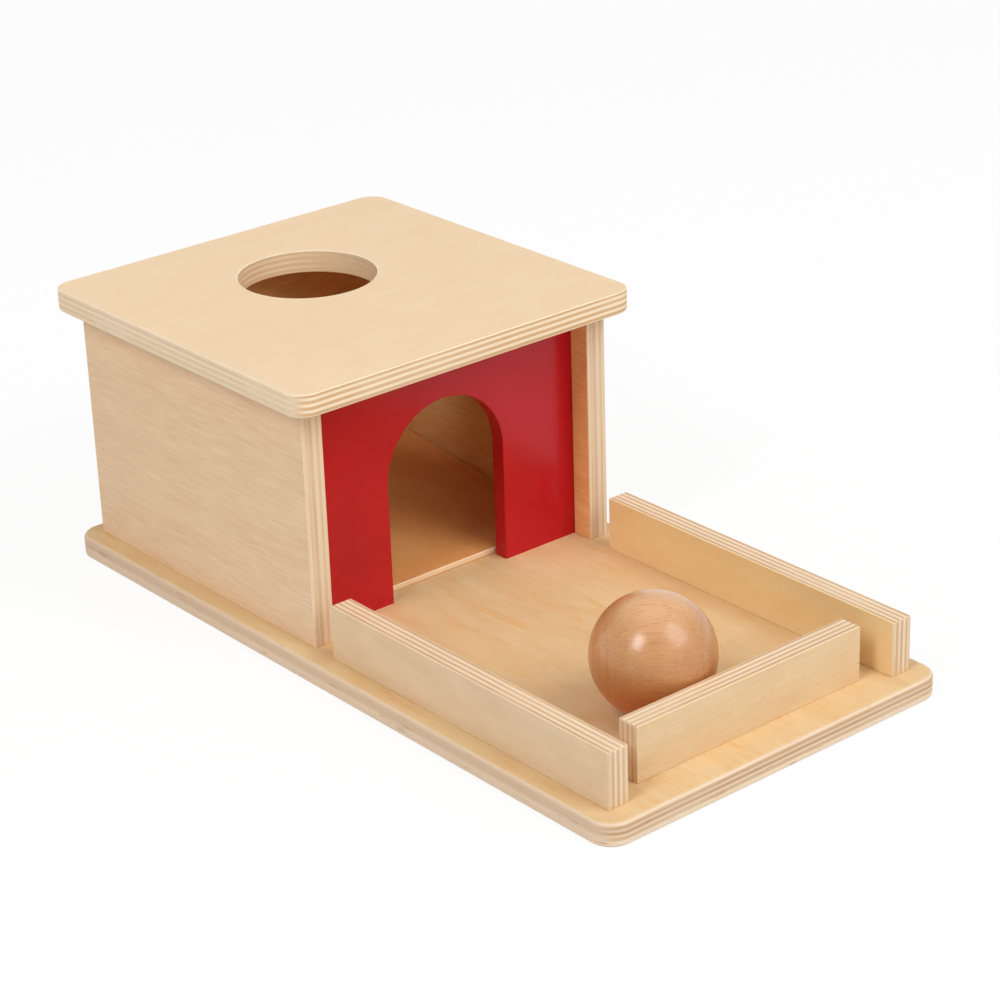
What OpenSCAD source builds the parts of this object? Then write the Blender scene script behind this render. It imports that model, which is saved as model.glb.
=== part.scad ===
// Object permanence box: a ball goes in through the lid, runs down a hidden ramp
// and comes out of an arched doorway into a railed tray.
// X is across the box, the tray is towards -Y and +Z is up.
// The origin is on the underside, at the middle of the overall length and width.

/* [Boards] */
// Thickness of the plywood of the base, walls, lid and rails
board_t = 9; // [8:0.5:12]
// Radius of the eased arrises of the walls and rails
arris_r = 0.4; // [0.3:0.1:1.5]

/* [Box] */
// Width over the side walls
box_w = 144; // [130:1:180]
// Depth of the side walls, front to back
box_d = 141.5; // [125:0.5:180]
// Height of the walls between the base and the lid
wall_h = 94.5; // [85:0.5:120]

/* [Base] */
// Base board left showing at each side of the box and behind it
base_margin = 8; // [4:0.5:20]
// Base board left showing in front of the tray rails
base_front_margin = 9; // [4:0.5:20]
// Radius of the base board's corners
base_corner_r = 9; // [6:0.5:14]
// Radius of the roll along the base board's upper edges
base_edge_r = 2; // [0.5:0.25:3]
// Radius of the base board's lower edges
base_under_r = 1.2; // [0.3:0.1:3]

/* [Lid] */
// Overhang of the lid past each side wall
lid_side_over = 7.5; // [2:0.5:15]
// Overhang of the lid past the front and the back of the box
lid_end_over = 9.75; // [2:0.25:15]
// Radius of the lid's corners
lid_corner_r = 8; // [4:0.5:14]
// Radius of the roll along the lid's upper edges
lid_edge_r = 0.5; // [0.3:0.1:1.5]
// Radius of the roll along the lid's lower edges
lid_under_r = 1.2; // [0.3:0.1:2]
// Diameter of the drop hole
hole_d = 54; // [48:1:60]
// Distance of the drop hole's centre behind the middle of the box
hole_back = 20.5; // [0:0.5:25]
// Bevel on the rims of the drop hole
hole_rim = 0.5; // [0.2:0.1:1]

/* [Front panel] */
// Thickness of the painted panel
panel_t = 6.5; // [5:0.5:9]
// Distance of the panel's face behind the front edges of the side walls
panel_set = 9.4; // [3:0.1:16]
// Depth of the groove in each side wall that houses the panel
groove_depth = 3; // [1.5:0.5:4]
// Clearance of the panel in its grooves, on each face and at the bottom
groove_clear = 0.1; // [0.05:0.05:0.3]
// Width of the doorway
door_w = 55.5; // [50:0.5:66]
// Height of the doorway at the crown of its arch
door_h = 75.5; // [65:0.5:80]

/* [Ramp] */
// Thickness of the ramp sheet
ramp_t = 2.5; // [2:0.5:4]
// Rise of the ramp from its toe to the back wall
ramp_rise = 13; // [8:0.5:20]
// Distance of the ramp's toe behind the front panel
ramp_front_gap = 1; // [0.5:0.25:4]
// Clearance of the ramp at each side wall and at the back wall
ramp_clear = 0.6; // [0.1:0.05:0.9]
// Depth of the cleat under the ramp's high end
cleat_d = 12; // [8:1:20]

/* [Tray] */
// Length of the side rails
rail_l = 148.5; // [120:0.5:200]
// Height of the rails above the base board
rail_h = 21.5; // [16:0.5:30]
// Radius of the rails' upper corners
rail_corner_r = 0.75; // [0.5:0.25:4]
// Gap between the box and the side rails
rail_gap = 11; // [4:0.5:20]
// Gap between each end of the front rail and the side rail beside it
front_rail_gap = 9.75; // [2:0.25:20]
// Distance of the front rail's face behind the front ends of the side rails
front_rail_set = 6.5; // [0:0.5:20]

/* [Ball] */
// Diameter of the ball
ball_d = 45; // [40:0.5:46]
// Distance of the ball to the left of the middle of the tray
ball_left = 15.5; // [0:0.5:20]
// Clearance under the ball
ball_lift = 0.3; // [0.2:0.05:0.5]
// Gap between the ball and the front rail
ball_gap = 1; // [0.3:0.1:2]

/* [Dowels] */
// Diameter of the dowels
dowel_d = 5; // [4:0.5:6]
// Length of the dowels
dowel_l = 14; // [12:0.5:18]
// Length of a dowel that sits in the base or the lid
dowel_seat = 5.25; // [4:0.25:6]
// Radial clearance of a dowel in its hole
dowel_clear = 0.05; // [0.02:0.01:0.1]
// Glue space past each end of a dowel
dowel_end_gap = 0.25; // [0.1:0.05:0.5]
// Bevel on the ends of a dowel
dowel_bevel = 0.6; // [0.3:0.1:1]
// Distance of an outer dowel from the end of the edge that it joins
dowel_inset = 18; // [12:1:25]

/* [Hidden] */
$fn = 96;
// Overshoot of a cut past the face that it opens
over = 1;

// Widths and lengths of the boards
inner_w = box_w - 2 * board_t;
base_w = box_w + 2 * base_margin;
base_l = base_front_margin + rail_l + rail_gap + box_d + base_margin;
lid_w = box_w + 2 * lid_side_over;
lid_l = box_d + 2 * lid_end_over;
front_rail_l = inner_w - 2 * front_rail_gap;
// Arrises of the rails, kept under half of their corners
rail_arris_r = min(arris_r, 0.48 * rail_corner_r);

// Places along Y, from the tray end to the back
overall_l = base_l + max(0, lid_end_over - base_margin);
base_front = -overall_l / 2;
rail_front = base_front + base_front_margin;
rail_back = rail_front + rail_l;
box_front = rail_back + rail_gap;
box_back = box_front + box_d;
box_mid = (box_front + box_back) / 2;
panel_front = box_front + panel_set;
panel_back = panel_front + panel_t;
back_face = box_back - board_t;
front_rail_mid = rail_front + front_rail_set + board_t / 2;

// Places along X and Z
wall_x = (box_w - board_t) / 2;
floor_z = board_t;
lid_z = board_t + wall_h;

// Ramp line: its toe, its high end and the underside's height above the floor
toe_y = panel_back + ramp_front_gap;
ramp_back = back_face - ramp_clear;
ramp_slope = ramp_rise / (ramp_back - toe_y);
function ramp_under(y) = ramp_slope * (y - toe_y);

// Ball's centre, with the ball against the front rail
ball_r = ball_d / 2;
ball_at = [-ball_left, front_rail_mid + board_t / 2 + ball_gap + ball_r, floor_z + ball_lift + ball_r];

// Dowel places along each joint
side_dowel_ys = [panel_back + dowel_inset, back_face - dowel_inset];
back_dowel_xs = [-inner_w / 2 + dowel_inset, inner_w / 2 - dowel_inset];
rail_dowel_ys = [rail_front + dowel_inset, rail_back - dowel_inset];
front_dowel_xs = [-front_rail_l / 2 + dowel_inset, front_rail_l / 2 - dowel_inset];

// Depths of the dowel holes, in the base and lid and in what stands between them
seat_depth = dowel_seat + dowel_end_gap;
tenon_depth = dowel_l - dowel_seat + dowel_end_gap;

face_ply = [0.93, 0.82, 0.66];
wall_ply = [0.86, 0.72, 0.56];
floor_ply = [0.88, 0.70, 0.48];
door_red = [0.72, 0.10, 0.11];
beech = [0.82, 0.60, 0.40];
pine = [0.90, 0.77, 0.55];

// Half of a board's section: flat at the axis, its outer edges rolled by top_r and under_r
module rolled_half(reach, t, top_r, under_r) {
    translate([0, under_r])
        square([reach, t - top_r - under_r]);
    square([reach - under_r, t / 2]);
    translate([0, t / 2])
        square([reach - top_r, t / 2]);
    translate([reach - under_r, under_r])
        circle(under_r);
    translate([reach - top_r, t - top_r])
        circle(top_r);
}

// Whole section, the two halves back to back
module rolled_section(w, t, top_r, under_r) {
    rolled_half(w / 2, t, top_r, under_r);
    mirror([1, 0])
        rolled_half(w / 2, t, top_r, under_r);
}

// Board lying flat, w by l, whose corners are round and whose edges are rolled all the way round
module rolled_board(w, l, t, corner_r, top_r, under_r) {
    rotate([90, 0, 0])
        linear_extrude(l - 2 * corner_r, center = true)
            rolled_section(w, t, top_r, under_r);
    rotate([90, 0, 90])
        linear_extrude(w - 2 * corner_r, center = true)
            rolled_section(l, t, top_r, under_r);
    for (turn = [0 : 90 : 270]) {
        quarter = [cos(turn) - sin(turn), sin(turn) + cos(turn)];
        translate([quarter.x * (w / 2 - corner_r), quarter.y * (l / 2 - corner_r), 0])
            rotate(turn)
                rotate_extrude(angle = 90)
                    rolled_half(corner_r, t, top_r, under_r);
    }
}

// Outline of an upright plank seen from above, with its four arrises eased
module eased_outline(x, y, r) {
    square([x - 2 * r, y], center = true);
    square([x, y - 2 * r], center = true);
    for (sx = [-1, 1], sy = [-1, 1])
        translate([sx * (x / 2 - r), sy * (y / 2 - r)])
            circle(r);
}

// Dowel standing on its end
module dowel() {
    r = dowel_d / 2;
    b = dowel_bevel;
    rotate_extrude()
        polygon([[0, 0], [r - b, 0], [r, b], [r, dowel_l - b], [r - b, dowel_l], [0, dowel_l]]);
}

// Hole for a dowel, from depth below z = 0 to height above it
module dowel_hole(depth, height) {
    translate([0, 0, -depth])
        cylinder(d = dowel_d + 2 * dowel_clear, h = depth + height);
}

// Places of the dowels of one joint: every pairing of the xs and ys, at height z
module at_places(xs, ys, z) {
    for (x = xs, y = ys)
        translate([x, y, z])
            children();
}

// Blind holes down into the base board
module base_holes(xs, ys) {
    at_places(xs, ys, floor_z)
        dowel_hole(seat_depth, over);
}

// Holes in a wall or rail that stands on the base board
module foot_holes(xs, ys) {
    at_places(xs, ys, floor_z)
        dowel_hole(over, tenon_depth);
}

// Holes in the top edge of a wall, under the lid
module head_holes(xs, ys) {
    at_places(xs, ys, lid_z)
        dowel_hole(tenon_depth, over);
}

// Dowels between the base board and what stands on it
module foot_dowels(xs, ys) {
    at_places(xs, ys, floor_z - dowel_seat)
        dowel();
}

module base_board() {
    color(floor_ply)
        difference() {
            translate([0, base_front + base_l / 2, 0])
                rolled_board(base_w, base_l, board_t, base_corner_r, base_edge_r, base_under_r);
            base_holes([-wall_x, wall_x], side_dowel_ys);
            base_holes(back_dowel_xs, [box_back - board_t / 2]);
            base_holes([-wall_x, wall_x], rail_dowel_ys);
            base_holes(front_dowel_xs, [front_rail_mid]);
        }
}

// Side wall on the right, with the groove for the front panel in its inner face
module side_wall() {
    color(wall_ply)
        difference() {
            translate([wall_x, box_mid, floor_z])
                linear_extrude(wall_h)
                    eased_outline(board_t, box_d, arris_r);
            translate([inner_w / 2 - over, panel_front - groove_clear, floor_z - over])
                cube([groove_depth + over, panel_t + 2 * groove_clear, wall_h + 2 * over]);
            foot_holes([wall_x], side_dowel_ys);
            head_holes([wall_x], side_dowel_ys);
        }
}

module left_wall() {
    mirror([1, 0, 0])
        side_wall();
}

module right_wall() {
    side_wall();
}

module back_wall() {
    color(wall_ply)
        difference() {
            translate([-inner_w / 2, back_face, floor_z])
                cube([inner_w, board_t, wall_h]);
            foot_holes(back_dowel_xs, [back_face + board_t / 2]);
            head_holes(back_dowel_xs, [back_face + board_t / 2]);
        }
}

// Arched doorway: straight jambs under a half circle
module door_outline() {
    spring_h = door_h - door_w / 2;
    translate([-door_w / 2, -over])
        square([door_w, spring_h + over]);
    translate([0, spring_h])
        circle(d = door_w);
}

module front_panel() {
    panel_w = inner_w + 2 * (groove_depth - groove_clear);
    color(door_red)
        translate([0, panel_back, floor_z])
            rotate([90, 0, 0])
                linear_extrude(panel_t)
                    difference() {
                        translate([-panel_w / 2, 0])
                            square([panel_w, wall_h]);
                        door_outline();
                    }
}

// Drop hole with both rims bevelled
module drop_hole() {
    translate([0, 0, -over])
        cylinder(d = hole_d, h = board_t + 2 * over);
    translate([0, 0, board_t - hole_rim])
        cylinder(d1 = hole_d, d2 = hole_d + 2 * (hole_rim + over), h = hole_rim + over);
    translate([0, 0, -over])
        cylinder(d1 = hole_d + 2 * (hole_rim + over), d2 = hole_d, h = hole_rim + over);
}

module lid() {
    color(face_ply)
        difference() {
            translate([0, box_mid, lid_z])
                rolled_board(lid_w, lid_l, board_t, lid_corner_r, lid_edge_r, lid_under_r);
            translate([0, box_mid + hole_back, lid_z])
                drop_hole();
            at_places([-wall_x, wall_x], side_dowel_ys, lid_z)
                dowel_hole(over, seat_depth);
            at_places(back_dowel_xs, [back_face + board_t / 2], lid_z)
                dowel_hole(over, seat_depth);
        }
}

// Extrudes a profile drawn in Y and Z across the inside of the box
module across_box(clear) {
    translate([-inner_w / 2 + clear, 0, floor_z])
        rotate([90, 0, 90])
            linear_extrude(inner_w - 2 * clear)
                children();
}

module ramp() {
    high = ramp_under(ramp_back);
    color(floor_ply)
        across_box(ramp_clear)
            polygon([[toe_y, 0], [ramp_back, high], [ramp_back, high + ramp_t], [toe_y, ramp_t]]);
}

module ramp_cleat() {
    front = back_face - cleat_d;
    color(pine)
        across_box(ramp_clear)
            polygon([[front, 0], [back_face, 0], [back_face, ramp_under(ramp_back)],
                     [ramp_back, ramp_under(ramp_back)], [front, ramp_under(front)]]);
}

// Rail standing on the base board along Y, centred, with its upper corners and arrises eased
module rail(l) {
    skirt = rail_corner_r + over;
    tall = rail_h + skirt;
    difference() {
        translate([-board_t / 2, 0, floor_z + rail_h - tall / 2])
            rotate([90, 0, 90])
                rolled_board(l, tall, board_t, rail_corner_r, rail_arris_r, rail_arris_r);
        translate([-board_t, -l, floor_z - 2 * skirt])
            cube([2 * board_t, 2 * l, 2 * skirt]);
    }
}

module side_rail() {
    color(wall_ply)
        difference() {
            translate([wall_x, (rail_front + rail_back) / 2, 0])
                rail(rail_l);
            foot_holes([wall_x], rail_dowel_ys);
        }
}

module left_rail() {
    mirror([1, 0, 0])
        side_rail();
}

module right_rail() {
    side_rail();
}

module front_rail() {
    color(wall_ply)
        difference() {
            translate([0, front_rail_mid, 0])
                rotate(90)
                    rail(front_rail_l);
            foot_holes(front_dowel_xs, [front_rail_mid]);
        }
}

module ball() {
    color(beech)
        translate(ball_at)
            sphere(d = ball_d);
}

module left_wall_dowels() {
    color(beech)
        foot_dowels([-wall_x], side_dowel_ys);
}

module right_wall_dowels() {
    color(beech)
        foot_dowels([wall_x], side_dowel_ys);
}

module back_wall_dowels() {
    color(beech)
        foot_dowels(back_dowel_xs, [back_face + board_t / 2]);
}

module lid_dowels() {
    low = lid_z + dowel_seat - dowel_l;
    color(beech) {
        at_places([-wall_x, wall_x], side_dowel_ys, low)
            dowel();
        at_places(back_dowel_xs, [back_face + board_t / 2], low)
            dowel();
    }
}

module left_rail_dowels() {
    color(beech)
        foot_dowels([-wall_x], rail_dowel_ys);
}

module right_rail_dowels() {
    color(beech)
        foot_dowels([wall_x], rail_dowel_ys);
}

module front_rail_dowels() {
    color(beech)
        foot_dowels(front_dowel_xs, [front_rail_mid]);
}

base_board();
left_wall();
right_wall();
back_wall();
front_panel();
lid();
ramp();
ramp_cleat();
left_rail();
right_rail();
front_rail();
ball();
left_wall_dowels();
right_wall_dowels();
back_wall_dowels();
lid_dowels();
left_rail_dowels();
right_rail_dowels();
front_rail_dowels();
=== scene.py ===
"""Looks of an object permanence box: plywood boards, a painted arched doorway and a turned ball."""

import math

import bmesh
import bpy
from mathutils import Matrix, Vector


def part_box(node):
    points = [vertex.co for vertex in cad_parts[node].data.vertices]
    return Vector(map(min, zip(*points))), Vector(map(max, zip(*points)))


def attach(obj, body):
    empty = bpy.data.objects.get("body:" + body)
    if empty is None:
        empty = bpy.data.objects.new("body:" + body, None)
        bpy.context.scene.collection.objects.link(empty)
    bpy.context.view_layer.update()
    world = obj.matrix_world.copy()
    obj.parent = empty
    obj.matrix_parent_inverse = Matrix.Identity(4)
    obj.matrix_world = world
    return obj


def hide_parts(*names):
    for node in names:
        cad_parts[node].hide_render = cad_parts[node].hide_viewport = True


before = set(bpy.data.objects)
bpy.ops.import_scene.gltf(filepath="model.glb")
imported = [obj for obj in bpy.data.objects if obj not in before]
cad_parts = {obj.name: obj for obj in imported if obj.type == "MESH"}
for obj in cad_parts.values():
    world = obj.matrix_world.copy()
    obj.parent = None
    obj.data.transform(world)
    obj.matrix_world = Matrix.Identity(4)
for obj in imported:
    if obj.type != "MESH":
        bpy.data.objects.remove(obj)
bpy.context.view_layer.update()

# Base board: one 9 mm plywood board that the box and the tray share. Its corners are cut round
# and its edges are routed to a roll, so the plies show as bands along every edge.
# Walls and rails stand on it, glued and dowelled.
MM = 0.001
X, Y, Z = 0, 1, 2
AXES = (Vector((1, 0, 0)), Vector((0, 1, 0)), Vector((0, 0, 1)))
IN_LINE = 0.999
SMOOTH_BELOW = math.radians(40)


def slab(low, high):
    """A plain board between two corners."""
    bm = bmesh.new()
    bmesh.ops.create_cube(bm, size=1.0)
    bmesh.ops.scale(bm, vec=high - low, verts=bm.verts)
    bmesh.ops.translate(bm, vec=(low + high) / 2, verts=bm.verts)
    return bm


def edges_along(bm, axis):
    """Edges that run along an axis."""
    runs = []
    for edge in bm.edges:
        run = edge.verts[1].co - edge.verts[0].co
        if abs(run.normalized()[axis]) > IN_LINE:
            runs.append(edge)
    return runs


def rims(bm, axis):
    """Edges round the faces that look along an axis."""
    bm.normal_update()
    found = []
    for edge in bm.edges:
        in_line = [abs(face.normal[axis]) > IN_LINE for face in edge.link_faces]
        if any(in_line) and not all(in_line):
            found.append(edge)
    return found


def above(edges, level):
    """Edges that begin above a level."""
    return [e for e in edges if e.verts[0].co.z > level]


def below(edges, level):
    """Edges that begin below a level."""
    return [e for e in edges if e.verts[0].co.z < level]


def ease(bm, edges, radius, segments):
    """Rounds edges over, as a router or sandpaper does."""
    bmesh.ops.bevel(
        bm, geom=edges, offset=radius, affect="EDGES", segments=segments, profile=0.5, material=-1)


def fit(name, bm, material, node, body="box"):
    """Makes the finished mesh a piece that rides on its body in place of its CAD node."""
    bmesh.ops.recalc_face_normals(bm, faces=bm.faces)
    mesh = bpy.data.meshes.new(name)
    bm.to_mesh(mesh)
    bm.free()
    for face in mesh.polygons:
        face.use_smooth = True
    mesh.set_sharp_from_angle(angle=SMOOTH_BELOW)
    mesh.materials.append(material)
    piece = bpy.data.objects.new(name, mesh)
    bpy.context.scene.collection.objects.link(piece)
    flats = piece.modifiers.new("flat_faces", "WEIGHTED_NORMAL")
    flats.keep_sharp = True
    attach(piece, body)
    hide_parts(node)


def paint_pot(r, g, b):
    """Colour as it is read off a screen, from 0 to 255, made linear."""
    channels = []
    for value in (r / 255, g / 255, b / 255):
        channels.append(value / 12.92 if value <= 0.04045 else ((value + 0.055) / 1.055) ** 2.4)
    return (*channels, 1.0)


def new_material(name):
    """An empty material and its tree of nodes."""
    material = bpy.data.materials.new(name)
    material.use_nodes = True
    return material, material.node_tree


def add(tree, kind, inputs, **settings):
    """A shader node with its settings and its inputs, each a value or another node's output."""
    made = tree.nodes.new(kind)
    for key, value in settings.items():
        setattr(made, key, value)
    for key, value in inputs.items():
        if isinstance(value, bpy.types.NodeSocket):
            tree.links.new(value, made.inputs[key])
        else:
            made.inputs[key].default_value = value
    return made


def calc(tree, operation, *values):
    """One step of arithmetic."""
    return add(tree, "ShaderNodeMath", dict(enumerate(values)), operation=operation).outputs[0]


def span(tree, value, low, high, to_low=0.0, to_high=1.0):
    """Soft step of a value between two levels."""
    steps = {"Value": value, "From Min": low, "From Max": high, "To Min": to_low, "To Max": to_high}
    return add(tree, "ShaderNodeMapRange", steps, interpolation_type="SMOOTHSTEP").outputs[0]


def mix_value(tree, share, a, b):
    """Number between two others."""
    return add(tree, "ShaderNodeMix", {0: share, 2: a, 3: b}, data_type="FLOAT").outputs[0]


def mix_place(tree, share, a, b):
    """Place between two others."""
    return add(tree, "ShaderNodeMix", {0: share, 4: a, 5: b}, data_type="VECTOR").outputs[1]


def mix_colour(tree, share, a, b, way="MIX"):
    """Colour between two others, or one laid over the other."""
    return add(tree, "ShaderNodeMix", {0: share, 6: a, 7: b}, data_type="RGBA", blend_type=way).outputs[2]


def noise(tree, place, scale=1.0, detail=2.0, roughness=0.5, distortion=0.0):
    """Soft random pattern, from 0 to 1."""
    settings = {"Vector": place, "Scale": scale, "Detail": detail, "Roughness": roughness,
                "Distortion": distortion}
    return add(tree, "ShaderNodeTexNoise", settings).outputs[0]


def stretched(tree, place, axis, along, across, shift=(0.0, 0.0, 0.0)):
    """Place for a pattern drawn out along one axis: along and across count its cells in a metre."""
    scale = [across] * 3
    scale[axis] = along
    moved = [step * cells for step, cells in zip(shift, scale)]
    return add(tree, "ShaderNodeMapping", {"Vector": place, "Location": moved, "Scale": scale}).outputs[0]


def finish_wood(tree, colour, roughness, height, bump, distance, shine):
    """Lacquer or paint: colour, sheen and the slight relief of the fibres under it."""
    fibres = {"Strength": bump, "Distance": distance, "Height": height}
    relief = add(tree, "ShaderNodeBump", fibres).outputs[0]
    wood = tree.nodes["Principled BSDF"]
    tree.links.new(colour, wood.inputs["Base Color"])
    tree.links.new(roughness, wood.inputs["Roughness"])
    tree.links.new(relief, wood.inputs["Normal"])
    wood.inputs["Specular IOR Level"].default_value = shine
    return wood


FIBRE_CELLS = (62.0, 900.0)
BAND_CELLS = (7.0, 60.0)
CLOUD_CELLS = (55.0, 120.0)
FLECK_CELLS = (260.0, 2100.0)
FLAME_CELLS = (24.0, 125.0)
KNOT_CELLS = (760.0, 110.0)
WANDER_CELLS = 34.0
PATCH_CELLS = 26.0
PORE_CELLS = 2600.0
PLY_WANDER = 0.34
GLUE_LINE = 0.07
GLUE_SHOW = 0.20
SKIN_END_SHOW = 0.75
BORE_SHOW = 0.55
BORE_EDGE = 0.3 * MM
BORE_FADE = 0.8 * MM
# The rims of a hole get a painted highlight.
RIM_HIGHLIGHT_SHOW = 1.25
RIM_HIGHLIGHT_FADE = 0.6 * MM
FACE_GLOSS = (0.42, 0.52)
END_GLOSS = 0.62
FIBRE_BUMP = 0.10
FIBRE_RELIEF = 0.12 * MM
PLY_SHINE = 0.25
GLUE_BROWN = paint_pot(128, 84, 48)
# Pale arris colour: sanded wood and a painted highlight along the edges.
SANDED_AND_LIT_EDGE = paint_pot(255, 242, 216)
# Pale sawn wall of a hole, partly painted light.
SAWN_AND_LIT_BORE = paint_pot(248, 216, 170)
SPOT_BROWN = paint_pot(172, 122, 82)
FLAME_AMBER = (1.0, 0.86, 0.68, 1.0)


def layers(tree, depth, plies):
    """Ply under a point, from its depth in mm: crossed or not, face ply or not, its brightness,
    and the glue lines."""
    whole = sum(thick for thick, _ in plies)
    ramp = add(tree, "ShaderNodeValToRGB", {"Fac": calc(tree, "DIVIDE", depth, whole)})
    stops = ramp.color_ramp.elements
    look = []
    for i, (_, bright) in enumerate(plies):
        outer = 1.0 if i in (0, len(plies) - 1) else 0.0
        look.append((float(i % 2), outer, bright / 2))
    for stop, place, shown in ((stops[0], 0.0, look[0]), (stops[1], 1.0, look[-1])):
        stop.position = place
        stop.color = (*shown, 0.0)
    at = 0.0
    for before, after, (thick, _) in zip(look, look[1:], plies):
        at += thick
        middle = [(a + b) / 2 for a, b in zip(before, after)]
        joint = ((at - GLUE_LINE, before, 0.0), (at, middle, 1.0), (at + GLUE_LINE, after, 0.0))
        for place, shown, line in joint:
            stop = stops.new(place / whole)
            stop.color = (*shown, line)
    parts = add(tree, "ShaderNodeSeparateColor", {"Color": ramp.outputs["Color"]}).outputs
    bright = calc(tree, "MULTIPLY", parts[2], 2.0)
    return parts[0], parts[1], bright, ramp.outputs["Alpha"]


def veneer_faces(tree, place, grain, depth, middle, fibre, veneers, figure, shift):
    """Colour of the low and the high face: bands, clouds, fibres and flecks between a pale and a deep
    colour, with amber flames over them."""
    band_show, cloud_show, fibre_show, fleck_show, flame_show = figure
    bands = noise(tree, stretched(tree, place, grain, *BAND_CELLS, shift), detail=2.0, distortion=0.6)
    clouds = noise(tree, stretched(tree, place, grain, *CLOUD_CELLS, shift), detail=3.0, roughness=0.6)
    flecks = noise(tree, stretched(tree, place, grain, *FLECK_CELLS, shift), detail=1.0)
    flames = noise(tree, stretched(tree, place, grain, *FLAME_CELLS, shift), detail=3.0, distortion=0.9)
    shade = 0.5
    for pattern, show in ((bands, band_show), (clouds, cloud_show), (fibre, fibre_show)):
        shade = calc(tree, "MULTIPLY_ADD", calc(tree, "SUBTRACT", pattern, 0.5), show, shade)
    shade = calc(tree, "MULTIPLY_ADD", span(tree, flecks, 0.62, 0.76), fleck_show, shade)
    low_face, high_face = (mix_colour(tree, shade, pale, deep) for pale, deep in veneers)
    face = mix_colour(tree, calc(tree, "GREATER_THAN", depth, middle), low_face, high_face)
    return mix_colour(tree, span(tree, flames, 0.50, 0.76, 0.0, flame_show), face, FLAME_AMBER, "MULTIPLY")


def ply_edges(tree, fibre, pores, end, crossed, bright, edge):
    """Colour of the plies at an edge, side on or end on, and that of the ends alone."""
    side, long_end, cross_end = edge
    sides = mix_colour(tree, span(tree, fibre, 0.35, 0.75, 0.0, 0.30), side, long_end)
    ends = mix_colour(tree, crossed, long_end, cross_end)
    ends = mix_colour(tree, span(tree, pores, 0.52, 0.70, 0.0, 0.30), ends, cross_end, "MULTIPLY")
    core = mix_colour(tree, end, sides, ends)
    warmed = {0: calc(tree, "POWER", bright, 0.65), 1: bright, 2: calc(tree, "POWER", bright, 1.3)}
    core = mix_colour(tree, 1.0, core, add(tree, "ShaderNodeCombineXYZ", warmed).outputs[0], "MULTIPLY")
    return core, ends


def hole_wall(tree, place, across, flat, hole):
    """How far a point belongs to the bevelled rims of a hole, which get a painted highlight, and to its sawn
    wall, which is drawn paler as sawn wood and painted light.
    """
    middle, radius = hole
    inside = radius + BORE_EDGE
    way = add(tree, "ShaderNodeVectorMath", {0: place, 1: middle}, operation="SUBTRACT").outputs[0]
    in_plane = {0: way, 1: Vector((1, 1, 1)) - AXES[across]}
    flat_way = add(tree, "ShaderNodeVectorMath", in_plane, operation="MULTIPLY").outputs[0]
    reach = add(tree, "ShaderNodeVectorMath", {0: flat_way}, operation="LENGTH").outputs["Value"]
    lit_rim = calc(tree, "MULTIPLY", span(tree, reach, inside, radius + RIM_HIGHLIGHT_FADE, 1.0, 0.0),
                span(tree, flat, 0.3, 0.6, 0.0, RIM_HIGHLIGHT_SHOW))
    bore = calc(tree, "MULTIPLY", span(tree, reach, inside, radius + BORE_FADE, BORE_SHOW, 0.0),
                span(tree, flat, 0.2, 0.6, 1.0, 0.0))
    return lit_rim, bore


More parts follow.
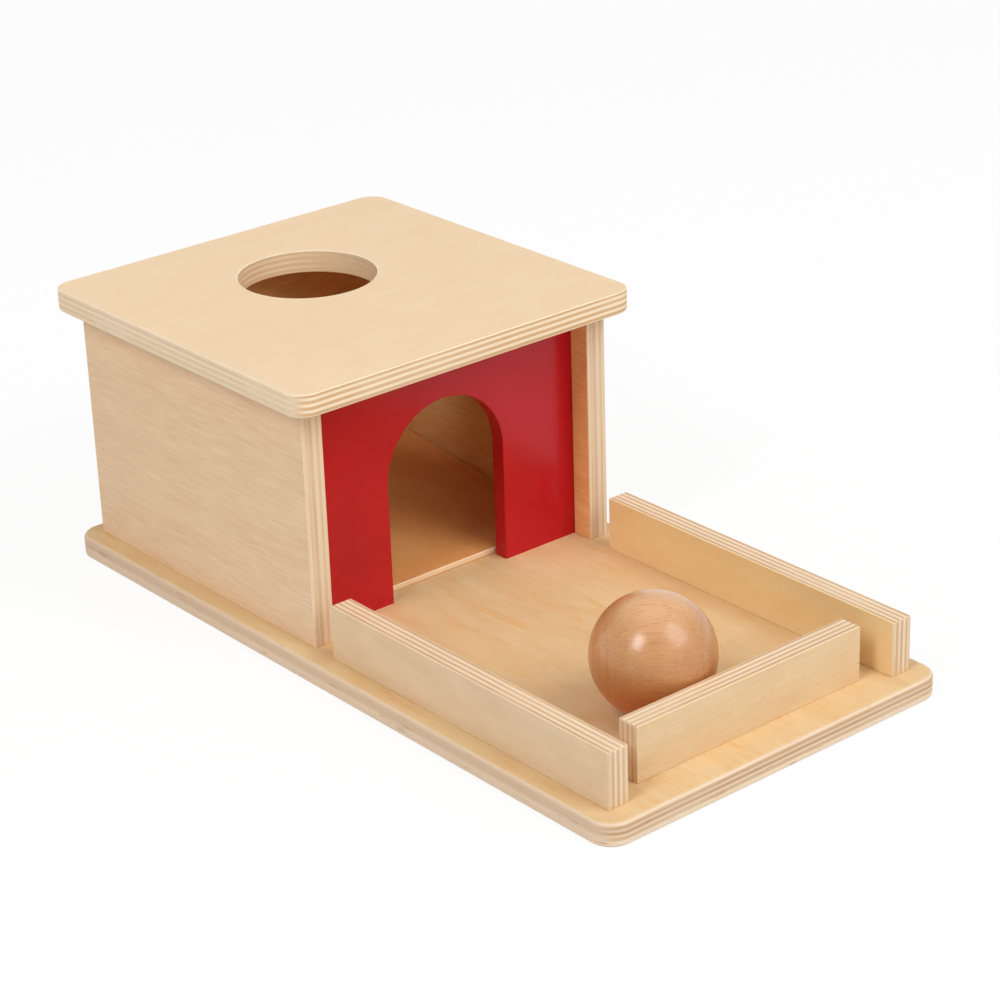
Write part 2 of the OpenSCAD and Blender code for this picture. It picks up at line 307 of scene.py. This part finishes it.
def plywood(name, across, low, grain, plies, veneers, edge, figure,
            sanded_and_lit=0.5, spots=0.0, hole=None, shift=(0, 0, 0)):
    """Plywood as a solid: every other ply runs crosswise, and a ply is darker where its fibres end at
    the surface. plies are thickness in mm and brightness; veneers are the pale and deep colours of the
    low and the high face; edge is a ply's side, and the ends of the long and of the crossed plies;
    figure is how strongly bands, clouds, fibres, flecks and flames show; sanded_and_lit is how pale the
    arrises are, as sanded wood and painted highlight; spots is how dark the small knots in the edges
    are; hole is a hole's middle and radius."""
    material, tree = new_material(name)
    cross = X + Y + Z - across - grain
    middle = sum(thick for thick, _ in plies) / 2
    where = tree.nodes.new("ShaderNodeTexCoord").outputs
    place = where["Object"]
    at = add(tree, "ShaderNodeSeparateXYZ", {"Vector": place}).outputs
    facing = add(tree, "ShaderNodeSeparateXYZ", {"Vector": where["Normal"]}).outputs

    depth = calc(tree, "MULTIPLY", calc(tree, "SUBTRACT", at[across], low), 1 / MM)
    wander = calc(tree, "SUBTRACT", noise(tree, place, scale=WANDER_CELLS, detail=3.0), 0.5)
    depth = calc(tree, "MULTIPLY_ADD", wander, PLY_WANDER, depth)
    crossed, outer, bright, glue = layers(tree, depth, plies)

    long_end = calc(tree, "ABSOLUTE", facing[grain])
    cross_end = calc(tree, "ABSOLUTE", facing[cross])
    end = span(tree, mix_value(tree, crossed, long_end, cross_end), 0.25, 0.95)
    patches = noise(tree, place, scale=PATCH_CELLS, detail=2.0)
    end = calc(tree, "MULTIPLY", end, span(tree, patches, 0.35, 0.65, 0.72, 1.15))
    flat = calc(tree, "ABSOLUTE", facing[across])
    arris = calc(tree, "MULTIPLY", span(tree, flat, 0.10, 0.45), span(tree, flat, 0.80, 0.97, 1.0, 0.0))

    long_fibres = stretched(tree, place, grain, *FIBRE_CELLS, shift)
    cross_fibres = stretched(tree, place, cross, *FIBRE_CELLS, shift)
    fibre = noise(tree, mix_place(tree, crossed, long_fibres, cross_fibres), detail=3.0, roughness=0.6)
    pores = noise(tree, place, scale=PORE_CELLS, detail=1.0)

    face = veneer_faces(tree, place, grain, depth, middle, fibre, veneers, figure, shift)
    core, ends = ply_edges(tree, fibre, pores, end, crossed, bright, edge)
    if spots:
        knots = noise(tree, stretched(tree, place, across, *KNOT_CELLS, shift), detail=1.0)
        core = mix_colour(tree, span(tree, knots, 0.66, 0.76, 0.0, spots), core, SPOT_BROWN)
    skin = mix_colour(tree, calc(tree, "MULTIPLY", end, SKIN_END_SHOW), face, ends)
    wood = mix_colour(tree, outer, core, skin)
    wood = mix_colour(tree, calc(tree, "MULTIPLY", glue, GLUE_SHOW), wood, GLUE_BROWN)
    if hole:
        lit_rim, bore = hole_wall(tree, place, across, flat, hole)
        # The hole's wall is drawn paler, partly painted light, and its rims get a painted highlight.
        wood = mix_colour(tree, bore, wood, SAWN_AND_LIT_BORE)
        arris = calc(tree, "MAXIMUM", arris, lit_rim)
    # Arrises are lightened: partly pale sanded wood, partly a painted highlight along the edges.
    wood = mix_colour(tree, calc(tree, "MULTIPLY", arris, sanded_and_lit), wood, SANDED_AND_LIT_EDGE)

    gloss = mix_value(tree, end, span(tree, fibre, 0.2, 0.8, *FACE_GLOSS), END_GLOSS)
    relief = mix_value(tree, end, fibre, pores)
    finish_wood(tree, wood, gloss, relief, FIBRE_BUMP, FIBRE_RELIEF, PLY_SHINE)
    return material


BASE_CORNER = 9.0 * MM
BASE_ROLL = 2.0 * MM
BASE_UNDER = 1.2 * MM
BASE_PLIES = ((0.55, 1.00), (2.00, 1.04), (1.30, 1.00), (0.85, 0.97), (1.10, 0.79), (1.00, 0.88),
              (1.15, 0.80), (0.80, 0.90), (0.25, 1.00))
base_low, base_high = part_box("base_board")
base = slab(base_low, base_high)
ease(base, edges_along(base, Z), BASE_CORNER, segments=20)
ease(base, above(rims(base, Z), base_low.z + MM), BASE_ROLL, segments=8)
ease(base, below(rims(base, Z), base_low.z + MM), BASE_UNDER, segments=6)
base_veneer = (paint_pot(233, 209, 166), paint_pot(220, 177, 123))
# Painted shade: the low face is drawn darker, so the lower roll shows a dark line along the floor.
shaded_under_veneer = (paint_pot(212, 178, 134), paint_pot(192, 150, 104))
base_wood = plywood(
    "base_plywood", Z, base_low.z, Y, BASE_PLIES, (shaded_under_veneer, base_veneer),
    edge=(paint_pot(240, 216, 188), paint_pot(218, 185, 148), paint_pot(236, 208, 178)),
    figure=(0.6, 0.8, 0.55, 0.3, 0.9), sanded_and_lit=0.1, spots=0.4, shift=(0.31, 0.12, 0.07))
fit("base_plank", base, base_wood, "base_board")

# Side walls: two upright plywood boards, glued and dowelled between the base and the lid.
# Their arrises are sanded, and a groove down each inner face houses the painted panel.
WALL_ARRIS = 0.4 * MM
GROOVE_ARRIS = 0.25 * MM
JOINT_ARRIS = 0.3 * MM
GROOVE_DEPTH = 3.0 * MM
GROOVE_CLEAR = 0.1 * MM
CLOSE = 0.01 * MM
WALL_PLIES = ((0.35, 1.00), (1.00, 1.00), (0.90, 1.06), (0.70, 0.90), (1.40, 0.97), (1.80, 0.98),
              (1.10, 1.04), (1.40, 1.00), (0.35, 1.00))
WALL_EDGE = (paint_pot(244, 222, 191), paint_pot(228, 196, 160), paint_pot(227, 194, 157))
WALL_FIGURE = (0.85, 0.7, 1.85, 0.3, 0.0)
outer_veneer = (paint_pot(246, 214, 176), paint_pot(231, 194, 155))
# Painted shade: faces inside the box get a warmer, more orange copy of the veneer for the red bounce light
# and shade there.
shaded_inner_veneer = (paint_pot(249, 204, 142), paint_pot(232, 177, 112))
panel_low, panel_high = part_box("front_panel")


def raised(points, axis, length):
    """A board drawn as its outline and pulled out along an axis."""
    bm = bmesh.new()
    bm.faces.new([bm.verts.new(p) for p in points])
    pulled = bmesh.ops.extrude_face_region(bm, geom=bm.faces[:], use_keep_orig=True)["geom"]
    tops = [v for v in pulled if isinstance(v, bmesh.types.BMVert)]
    bmesh.ops.translate(bm, vec=AXES[axis] * length, verts=tops)
    bmesh.ops.recalc_face_normals(bm, faces=bm.faces)
    return bm


def grooved_wall(low, high, inner, outer, into):
    """Side wall drawn from above: inner and outer are its faces in X, into is the groove's direction."""
    groove_front = panel_low.y - GROOVE_CLEAR
    groove_back = panel_high.y + GROOVE_CLEAR
    floor = inner + into * GROOVE_DEPTH
    plan = [(outer, low.y), (outer, high.y), (inner, high.y), (inner, groove_back), (floor, groove_back),
            (floor, groove_front), (inner, groove_front), (inner, low.y)]
    bm = raised([(x, y, low.z) for x, y in plan], Z, high.z - low.z)
    corners = [e for e in edges_along(bm, Z)
               if e.verts[0].co.y < low.y + MM or e.verts[0].co.y > high.y - MM]
    ease(bm, corners, WALL_ARRIS, segments=4)
    mouth = [e for e in edges_along(bm, Z)
             if abs(e.verts[0].co.y - groove_front) < CLOSE and abs(e.verts[0].co.x - inner) < CLOSE]
    ease(bm, mouth, GROOVE_ARRIS, segments=3)
    ease(bm, rims(bm, Z), JOINT_ARRIS, segments=2)
    return bm


for side, into, wall_veneers in (("left", -1, (outer_veneer, shaded_inner_veneer)),
                                 ("right", 1, (shaded_inner_veneer, outer_veneer))):
    wall_low, wall_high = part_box(side + "_wall")
    inner, outer = (wall_high.x, wall_low.x) if into < 0 else (wall_low.x, wall_high.x)
    wall = grooved_wall(wall_low, wall_high, inner, outer, into)
    wall_wood = plywood(
        side + "_wall_plywood", X, wall_low.x, Y, WALL_PLIES, wall_veneers, WALL_EDGE, WALL_FIGURE,
        shift=(0.2 * into, 0.4, 0.15))
    fit(side + "_side", wall, wall_wood, side + "_wall")

# Back wall: a plywood board set between the side walls and flush with their ends,
# glued and dowelled to the base and the lid.
BACK_ARRIS = 0.3 * MM
back_low, back_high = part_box("back_wall")
back = slab(back_low, back_high)
back_corners = [e for e in edges_along(back, Z) if e.verts[0].co.y > back_high.y - MM]
ease(back, back_corners, BACK_ARRIS, segments=2)
ease(back, rims(back, Z), JOINT_ARRIS, segments=2)
back_wood = plywood(
    "back_wall_plywood", Y, back_low.y, X, WALL_PLIES, (shaded_inner_veneer, outer_veneer), WALL_EDGE, WALL_FIGURE,
    shift=(0.6, 0.1, 0.35))
fit("back_side", back, back_wood, "back_wall")

# Ramp cleat: a strip of softwood glued into the back corner of the floor, planed to the ramp's slope.
# It holds the ramp's high end, and is out of sight.
BARE_FIBRE_CELLS = (30.0, 1100.0)
BARE_RING_CELLS = (4.0, 240.0)
BARE_GLOSS = (0.55, 0.70)
BARE_BUMP = 0.2
BARE_RELIEF = 0.2 * MM
BARE_SHINE = 0.25


def plain_wood(name, grain, pale, deep, shift):
    """Bare solid wood with straight fibres and yearly rings."""
    material, tree = new_material(name)
    place = tree.nodes.new("ShaderNodeTexCoord").outputs["Object"]
    fibre = noise(tree, stretched(tree, place, grain, *BARE_FIBRE_CELLS, shift), detail=3.0, roughness=0.6)
    rings = noise(tree, stretched(tree, place, grain, *BARE_RING_CELLS, shift), detail=1.0, distortion=0.3)
    shade = calc(tree, "ADD", calc(tree, "MULTIPLY", fibre, 0.5), calc(tree, "MULTIPLY", rings, 0.5))
    wood = mix_colour(tree, span(tree, shade, 0.30, 0.70), pale, deep)
    gloss = span(tree, fibre, 0.2, 0.8, *BARE_GLOSS)
    finish_wood(tree, wood, gloss, fibre, BARE_BUMP, BARE_RELIEF, BARE_SHINE)
    return material


def leave_bare(node, material):
    """Gives a hidden piece bare wood and leaves it its CAD mesh."""
    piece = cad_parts[node]
    piece.data.materials.clear()
    piece.data.materials.append(material)


leave_bare("ramp_cleat", plain_wood(
    "cleat_pine", X, paint_pot(232, 204, 158), paint_pot(206, 164, 112), shift=(0.0, 0.3, 0.2)))

# Ramp: a thin plywood sheet across the whole inside of the box. Its toe lies on the base just behind the
# doorway and its high end rests on the cleat, so a ball that is dropped in rolls out.
# Its own plies are too thin to tell apart: one dark layer low in the toe, under a pale edge, is painted shade
# of the gap beneath it.
RAMP_T = 2.5 * MM
RAMP_PLIES_WITH_SHADE_LINE = ((0.05, 1.0), (0.45, 0.4), (100.0, 1.0))
TOE_ARRIS = 0.5 * MM
TOE_UNDER = 0.35 * MM
ramp_low, ramp_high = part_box("ramp")
ramp_profile = [(ramp_low.y, ramp_low.z), (ramp_high.y, ramp_high.z - RAMP_T), (ramp_high.y, ramp_high.z),
                (ramp_low.y, ramp_low.z + RAMP_T)]
ramp = raised([(ramp_low.x, y, z) for y, z in ramp_profile], X, ramp_high.x - ramp_low.x)
toe = [e for e in edges_along(ramp, X) if e.verts[0].co.y < ramp_low.y + MM]
toe_top = above(toe, ramp_low.z + MM)
toe_foot = below(toe, ramp_low.z + MM)
ease(ramp, toe_top, TOE_ARRIS, segments=6)
ease(ramp, toe_foot, TOE_UNDER, segments=2)
ramp_veneer = (paint_pot(246, 183, 117), paint_pot(227, 157, 90))
ramp_wood = plywood(
    "ramp_plywood", Z, ramp_low.z, Y, RAMP_PLIES_WITH_SHADE_LINE, (ramp_veneer, ramp_veneer),
    edge=(paint_pot(252, 232, 200), paint_pot(250, 226, 190), paint_pot(250, 226, 190)),
    figure=(0.5, 0.9, 0.7, 0.3, 0.2), sanded_and_lit=0.6, shift=(0.1, 0.9, 0.2))
fit("ramp_sheet", ramp, ramp_wood, "ramp")

# Front panel: a thinner plywood board with an arched doorway, painted red all over and slid
# down the grooves of the side walls. The doorway's arrises are sanded before painting.
DOOR_ARRIS = 0.35 * MM
DOOR_W = 55.5 * MM
DOOR_H = 75.5 * MM
NEAR = 0.1 * MM
NEARLY_WHOLE = 0.9999
PEEL_CELLS = 900.0
COAT_CELLS = 45.0
UNDER_GRAIN_CELLS = (40.0, 700.0)
UNDER_GRAIN_SHARE = 0.35
PAINT_GLOSS = (0.22, 0.27)
PAINT_BUMP = 0.05
PAINT_RELIEF = 0.10 * MM
PAINT_SHINE = 0.32
door_x = DOOR_W / 2
crown_z = panel_low.z + DOOR_H
panel_plan = [(panel_low.x, panel_low.z), (-door_x, panel_low.z), (-door_x, crown_z), (door_x, crown_z),
              (door_x, panel_low.z), (panel_high.x, panel_low.z), (panel_high.x, panel_high.z),
              (panel_low.x, panel_high.z)]
panel = raised([(x, panel_low.y, z) for x, z in panel_plan], Y, panel_high.y - panel_low.y)
arch = [e for e in edges_along(panel, Y) if abs(e.verts[0].co.z - crown_z) < NEAR]
ease(panel, arch, door_x * NEARLY_WHOLE, segments=36)
doorway = [e for e in rims(panel, Y)
           if max(abs(v.co.x) for v in e.verts) < door_x + NEAR
           and max(v.co.z for v in e.verts) > panel_low.z + MM]
ease(panel, doorway, DOOR_ARRIS, segments=3)


def satin_paint(name, bright, dull):
    """Satin paint, sprayed on so thinly that the fibres still show in its relief."""
    material, tree = new_material(name)
    place = tree.nodes.new("ShaderNodeTexCoord").outputs["Object"]
    peel = noise(tree, place, scale=PEEL_CELLS, detail=2.0)
    under_grain = noise(tree, stretched(tree, place, X, *UNDER_GRAIN_CELLS), detail=3.0, roughness=0.6)
    coat = noise(tree, place, scale=COAT_CELLS, detail=2.0)
    shade = mix_value(tree, UNDER_GRAIN_SHARE, coat, under_grain)
    colour = mix_colour(tree, span(tree, shade, 0.30, 0.70), bright, dull)
    gloss = span(tree, coat, 0.3, 0.7, *PAINT_GLOSS)
    relief = calc(tree, "ADD", calc(tree, "MULTIPLY", peel, 0.5), under_grain)
    finish_wood(tree, colour, gloss, relief, PAINT_BUMP, PAINT_RELIEF, PAINT_SHINE)
    return material


red = satin_paint("red_satin_paint", paint_pot(195, 18, 31), paint_pot(188, 15, 28))
fit("door_panel", panel, red, "front_panel")

# Lid: a plywood board glued and dowelled to the walls, with round corners, a crisp upper arris, a rolled
# lower one and a round drop hole, sawn through and lightly bevelled at both rims.
LID_CORNER = 8.0 * MM
LID_ARRIS = 0.5 * MM
LID_UNDER = 1.2 * MM
LID_PLIES = ((0.95, 1.00), (1.00, 0.87), (1.15, 1.00), (1.15, 0.91), (1.25, 1.02), (1.10, 0.94),
             (1.15, 1.00), (0.95, 0.89), (0.30, 1.00))
HOLE_R = 27.0 * MM
HOLE_RIM = 0.5 * MM
HOLE_BACK = 20.5 * MM
lid_low, lid_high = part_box("lid")
lid_middle = (lid_low + lid_high) / 2
lid = bmesh.new()
bmesh.ops.create_grid(lid, x_segments=1, y_segments=1, size=0.5)
bmesh.ops.scale(lid, vec=lid_high - lid_low, verts=lid.verts)
bmesh.ops.translate(lid, vec=(lid_middle.x, lid_middle.y, lid_low.z), verts=lid.verts)
bmesh.ops.bevel(
    lid, geom=lid.verts[:], offset=LID_CORNER, affect="VERTICES", segments=16, profile=0.5, material=-1)
bmesh.ops.delete(lid, geom=lid.faces[:], context="FACES_ONLY")
long_edges = [e for e in lid.edges if e.calc_length() > LID_CORNER]
bmesh.ops.subdivide_edges(lid, edges=long_edges, cuts=15)
hole_at = Matrix.Translation((lid_middle.x, lid_middle.y + HOLE_BACK, lid_low.z))
hole_middle = hole_at.translation
bmesh.ops.create_circle(lid, cap_ends=False, radius=HOLE_R, segments=128, matrix=hole_at)
bmesh.ops.bridge_loops(lid, edges=lid.edges[:])
lid_top = bmesh.ops.extrude_face_region(lid, geom=lid.faces[:], use_keep_orig=True)["geom"]
bmesh.ops.translate(lid, vec=AXES[Z] * (lid_high.z - lid_low.z),
                    verts=[v for v in lid_top if isinstance(v, bmesh.types.BMVert)])
bmesh.ops.recalc_face_normals(lid, faces=lid.faces)


def round_hole(edge):
    """True for an edge of the drop hole."""
    return all((v.co - hole_middle).to_2d().length < HOLE_R + MM for v in edge.verts)


def lid_outline():
    """Edges round the lid's two faces, without those of the drop hole."""
    return [e for e in rims(lid, Z) if not round_hole(e)]


ease(lid, above(lid_outline(), lid_low.z + MM), LID_ARRIS, segments=4)
ease(lid, below(lid_outline(), lid_low.z + MM), LID_UNDER, segments=6)
ease(lid, [e for e in rims(lid, Z) if round_hole(e)], HOLE_RIM, segments=2)
lid_veneer = (paint_pot(246, 218, 181), paint_pot(237, 205, 166))
lid_under_veneer = (paint_pot(250, 219, 178), paint_pot(237, 202, 158))
lid_wood = plywood(
    "lid_plywood", Z, lid_low.z, X, LID_PLIES, (lid_under_veneer, lid_veneer),
    edge=(paint_pot(254, 234, 203), paint_pot(238, 210, 175), paint_pot(230, 192, 147)),
    figure=(0.4, 0.9, 0.55, 0.3, 0.2), sanded_and_lit=0.75, hole=(hole_middle, HOLE_R), shift=(0.05, 0.22, 0.4))
fit("lid_board", lid, lid_wood, "lid")

# Tray rails: two long plywood rails at the sides and a shorter one across the front, on edge on the base,
# each held by two dowels. Their upper corners are slightly rounded and every arris is sanded.
RAIL_CORNER = 0.75 * MM
RAIL_ARRIS = 0.36 * MM
RAIL_PLIES = ((0.55, 1.00), (1.05, 0.94), (1.20, 0.99), (1.05, 1.00), (1.30, 1.00), (1.05, 1.04),
              (1.20, 1.04), (1.05, 0.97), (0.55, 1.00))
RAIL_EDGE = (paint_pot(245, 219, 186), paint_pot(217, 184, 148), paint_pot(213, 178, 142))


def tray_rail(low, high, across):
    """Rail on edge: across is the axis of its thickness."""
    bm = slab(low, high)
    ease(bm, above(edges_along(bm, across), high.z - MM), RAIL_CORNER, segments=5)
    arrises = [e for e in rims(bm, across) if max(v.co.z for v in e.verts) > low.z + MM]
    ease(bm, arrises, RAIL_ARRIS, segments=4)
    foot = [e for e in rims(bm, Z) if max(v.co.z for v in e.verts) < low.z + CLOSE]
    ease(bm, foot, JOINT_ARRIS, segments=2)
    return bm


for name, across, along, pale, deep, figure, shift in (
        ("left_rail", X, Y, (242, 214, 178), (229, 197, 159), (0.7, 1.4, 0.6, 0.35, 0.25), (0.1, 0.7, 0.3)),
        ("right_rail", X, Y, (250, 224, 172), (240, 206, 148), (0.4, 1.0, 0.45, 0.35, 0.25), (0.5, 0.2, 0.8)),
        ("front_rail", Y, X, (241, 216, 175), (227, 190, 144), (0.3, 0.8, 0.8, 0.6, 0.2), (0.8, 0.3, 0.1))):
    rail_low, rail_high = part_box(name)
    rail_veneer = (paint_pot(*pale), paint_pot(*deep))
    far_veneer = outer_veneer if name == "right_rail" else rail_veneer
    rail_wood = plywood(
        name + "_plywood", across, rail_low[across], along, RAIL_PLIES, (rail_veneer, far_veneer),
        RAIL_EDGE, figure, sanded_and_lit=0.35, shift=shift)
    fit(name + "_plank", tray_rail(rail_low, rail_high, across), rail_wood, name)

# Dowels: bare beech pegs that hold the walls, the lid and the rails. They are glued into blind holes
# and don't show on the finished box.
for name in ("left_wall", "right_wall", "back_wall", "lid", "left_rail", "right_rail", "front_rail"):
    leave_bare(name + "_dowels", plain_wood(
        name + "_dowel_beech", Z, paint_pot(222, 178, 130), paint_pot(190, 138, 92), shift=(0.2, 0.1, 0.0)))

# Ball: turned from one piece of beech and lacquered. It lies loose in the tray, at the front rail, with its
# fibres level, short dark flecks along them and the marks of the lathe round its two ends.
BALL_FIBRES = math.radians(40.2)
PALE_BEECH = paint_pot(208, 154, 99)
DEEP_BEECH = paint_pot(187, 126, 72)
# Painted shade below, painted light on top and at one end of the ball.
SHADE_BELOW = paint_pot(203, 92, 8)
LIGHT_ABOVE = paint_pot(230, 177, 127)
LIT_END = paint_pot(232, 168, 118)
BEECH_FLECK = paint_pot(163, 96, 50)
LATHE_MARK = paint_pot(156, 96, 56)
BEECH_FIBRE_CELLS = (90.0, 1300.0)
BEECH_YEAR_CELLS = (9.0, 70.0)
BEECH_FLECK_CELLS = (150.0, 1600.0)
LATHE_CELLS = (700.0, 4.0)
FIBRE_SHARE = 0.45
BEECH_GLOSS = (0.46, 0.54)
BEECH_BUMP = 0.05
BEECH_RELIEF = 0.1 * MM
BEECH_SHINE = 0.12
LACQUER_IOR = 1.55
LACQUER_ROUGHNESS = 0.25
ball_low, ball_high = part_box("ball")
ball_middle = (ball_low + ball_high) / 2
ball_radius = (ball_high.z - ball_low.z) / 2
ball = bmesh.new()
bmesh.ops.create_icosphere(ball, subdivisions=6, radius=ball_radius, matrix=Matrix.Translation(ball_middle))


def turned_beech(name, middle, radius):
    """Lacquered beech, placed from the ball's middle, with painted shade below, and painted light above and
    at one end.
    """
    material, tree = new_material(name)
    place = tree.nodes.new("ShaderNodeTexCoord").outputs["Object"]
    centred = add(tree, "ShaderNodeMapping", {"Vector": place, "Location": -middle}).outputs[0]
    level = add(tree, "ShaderNodeMapping", {"Vector": centred, "Rotation": (0, 0, BALL_FIBRES)}).outputs[0]
    at = add(tree, "ShaderNodeSeparateXYZ", {"Vector": level}).outputs
    fibres = noise(tree, stretched(tree, level, X, *BEECH_FIBRE_CELLS), detail=3.0, roughness=0.6)
    years = noise(tree, stretched(tree, level, X, *BEECH_YEAR_CELLS), detail=2.0, distortion=0.4)
    flecks = noise(tree, stretched(tree, level, X, *BEECH_FLECK_CELLS), detail=1.0)
    lathe = noise(tree, stretched(tree, level, X, *LATHE_CELLS), detail=2.0)

    shade = mix_value(tree, FIBRE_SHARE, years, fibres)
    colour = mix_colour(tree, span(tree, shade, 0.25, 0.75), PALE_BEECH, DEEP_BEECH)
    # Painted shade: the lower part of the ball is drawn deeper and more orange.
    colour = mix_colour(tree, span(tree, at[Z], -0.6 * radius, 0.25 * radius, 0.75, 0.0), colour, SHADE_BELOW)
    # Painted light: the top of the ball is drawn paler.
    colour = mix_colour(tree, span(tree, at[Z], 0.68 * radius, radius, 0.0, 0.65), colour, LIGHT_ABOVE)
    # Painted light: one end of the fibres is drawn paler at mid height.
    lit_end = calc(tree, "MULTIPLY", span(tree, at[X], -0.97 * radius, -0.45 * radius, 0.60, 0.0),
                    span(tree, at[Z], -0.30 * radius, 0.35 * radius))
    colour = mix_colour(tree, lit_end, colour, LIT_END)
    colour = mix_colour(tree, span(tree, flecks, 0.57, 0.72, 0.0, 0.42), colour, BEECH_FLECK)
    near_ends = span(tree, calc(tree, "ABSOLUTE", at[X]), 0.45 * radius, 0.95 * radius)
    marks = calc(tree, "MULTIPLY", near_ends, span(tree, lathe, 0.48, 0.70, 0.0, 0.36))
    colour = mix_colour(tree, marks, colour, LATHE_MARK)

    gloss = span(tree, fibres, 0.2, 0.8, *BEECH_GLOSS)
    wood = finish_wood(tree, colour, gloss, fibres, BEECH_BUMP, BEECH_RELIEF, BEECH_SHINE)
    wood.inputs["Coat Weight"].default_value = 1.0
    wood.inputs["Coat IOR"].default_value = LACQUER_IOR
    wood.inputs["Coat Roughness"].default_value = LACQUER_ROUGHNESS
    return material


beech = turned_beech("turned_beech", ball_middle, ball_radius)
fit("beech_ball", ball, beech, "ball", body="ball")

# Studio: a white floor and background, four soft lamps and the camera, none of them part of the object.
# The camera sees the floor and the background as white; the object gets only a soft share of their light.
FLOOR_DROP = 0.2 * MM
FLOOR_REACH = 30.0
AMBIENT = 0.25
PAPER_GREY = (0.78, 0.78, 0.78, 1)
PAPER_GLOW = 0.9
WHITE = (1, 1, 1, 1)


def seen_as_white(tree):
    """One for rays that show the background itself, nothing for those that light the object."""
    rays = tree.nodes.new("ShaderNodeLightPath").outputs
    shown = calc(tree, "MAXIMUM", rays["Is Camera Ray"], rays["Is Glossy Ray"])
    return calc(tree, "MAXIMUM", shown, rays["Is Transmission Ray"])


white_room = bpy.data.worlds.new("white_room")
bpy.context.scene.world = white_room
white_room.use_nodes = True
room = white_room.node_tree
background = room.nodes["Background"].inputs
background["Color"].default_value = WHITE
room.links.new(mix_value(room, seen_as_white(room), AMBIENT, 1.0), background["Strength"])

floor_mesh = bpy.data.meshes.new("studio_floor")
ground = bmesh.new()
bmesh.ops.create_grid(ground, x_segments=1, y_segments=1, size=FLOOR_REACH,
                      matrix=Matrix.Translation((0, 0, -FLOOR_DROP)))
ground.to_mesh(floor_mesh)
ground.free()
floor = bpy.data.objects.new("studio_floor", floor_mesh)
bpy.context.scene.collection.objects.link(floor)
paper, paper_tree = new_material("white_paper")
paper_tree.nodes.remove(paper_tree.nodes["Principled BSDF"])
paper_shown = seen_as_white(paper_tree)
paper_white = mix_colour(paper_tree, paper_shown, PAPER_GREY, WHITE)
matt = add(paper_tree, "ShaderNodeBsdfDiffuse", {"Color": paper_white}).outputs[0]
glow = add(paper_tree, "ShaderNodeEmission", {"Color": WHITE, "Strength": 1.0}).outputs[0]
paper_glow = calc(paper_tree, "MULTIPLY", paper_shown, PAPER_GLOW)
paper_mix = add(paper_tree, "ShaderNodeMixShader", {0: paper_glow, 1: matt, 2: glow}).outputs[0]
paper_tree.links.new(paper_mix, paper_tree.nodes["Material Output"].inputs["Surface"])
floor_mesh.materials.append(paper)


def soft_box(name, towards, distance, width, height, level):
    """A soft box that looks at the object; level is how brightly it lights a surface that faces it."""
    lamp = bpy.data.lights.new(name, "AREA")
    lamp.shape = "RECTANGLE"
    lamp.size, lamp.size_y = width, height
    lamp.energy = level * math.pi ** 2 * distance ** 2
    stand = bpy.data.objects.new(name, lamp)
    bpy.context.scene.collection.objects.link(stand)
    direction = Vector(towards).normalized()
    stand.location = direction * distance
    stand.rotation_mode = "QUATERNION"
    stand.rotation_quaternion = (-direction).to_track_quat("-Z", "Y")
    stand.visible_camera = False


soft_box("left_soft_box", (-0.701, -0.160, 0.695), distance=3.0, width=0.8, height=1.28, level=0.385)
soft_box("front_soft_box", (0.249, -0.641, 0.726), distance=3.0, width=1.6, height=1.9, level=0.37)
soft_box("front_screen", (0.218, -0.757, 0.616), distance=3.2, width=4.4, height=3.4, level=0.27)
soft_box("top_soft_box", (0.0, 0.0, 1.0), distance=3.0, width=2.6, height=2.6, level=0.13)

SENSOR = 36.0
LENS = 102.98
CAMERA_AT = (-0.609771, -0.754815, 0.485684)
CAMERA_RIGHT = (0.763328, -0.645278, -0.030749)
CAMERA_UP = (0.286768, 0.295811, 0.911186)
CAMERA_BACK = (-0.578873, -0.704352, 0.410846)
camera_data = bpy.data.cameras.new("photo_camera")
camera_data.sensor_width = SENSOR
camera_data.lens = LENS
camera = bpy.data.objects.new("photo_camera", camera_data)
bpy.context.scene.collection.objects.link(camera)
camera_turn = Matrix((CAMERA_RIGHT, CAMERA_UP, CAMERA_BACK)).transposed().to_4x4()
camera.matrix_world = Matrix.Translation(CAMERA_AT) @ camera_turn
bpy.context.scene.camera = camera
bpy.context.scene.view_settings.view_transform = "Standard"
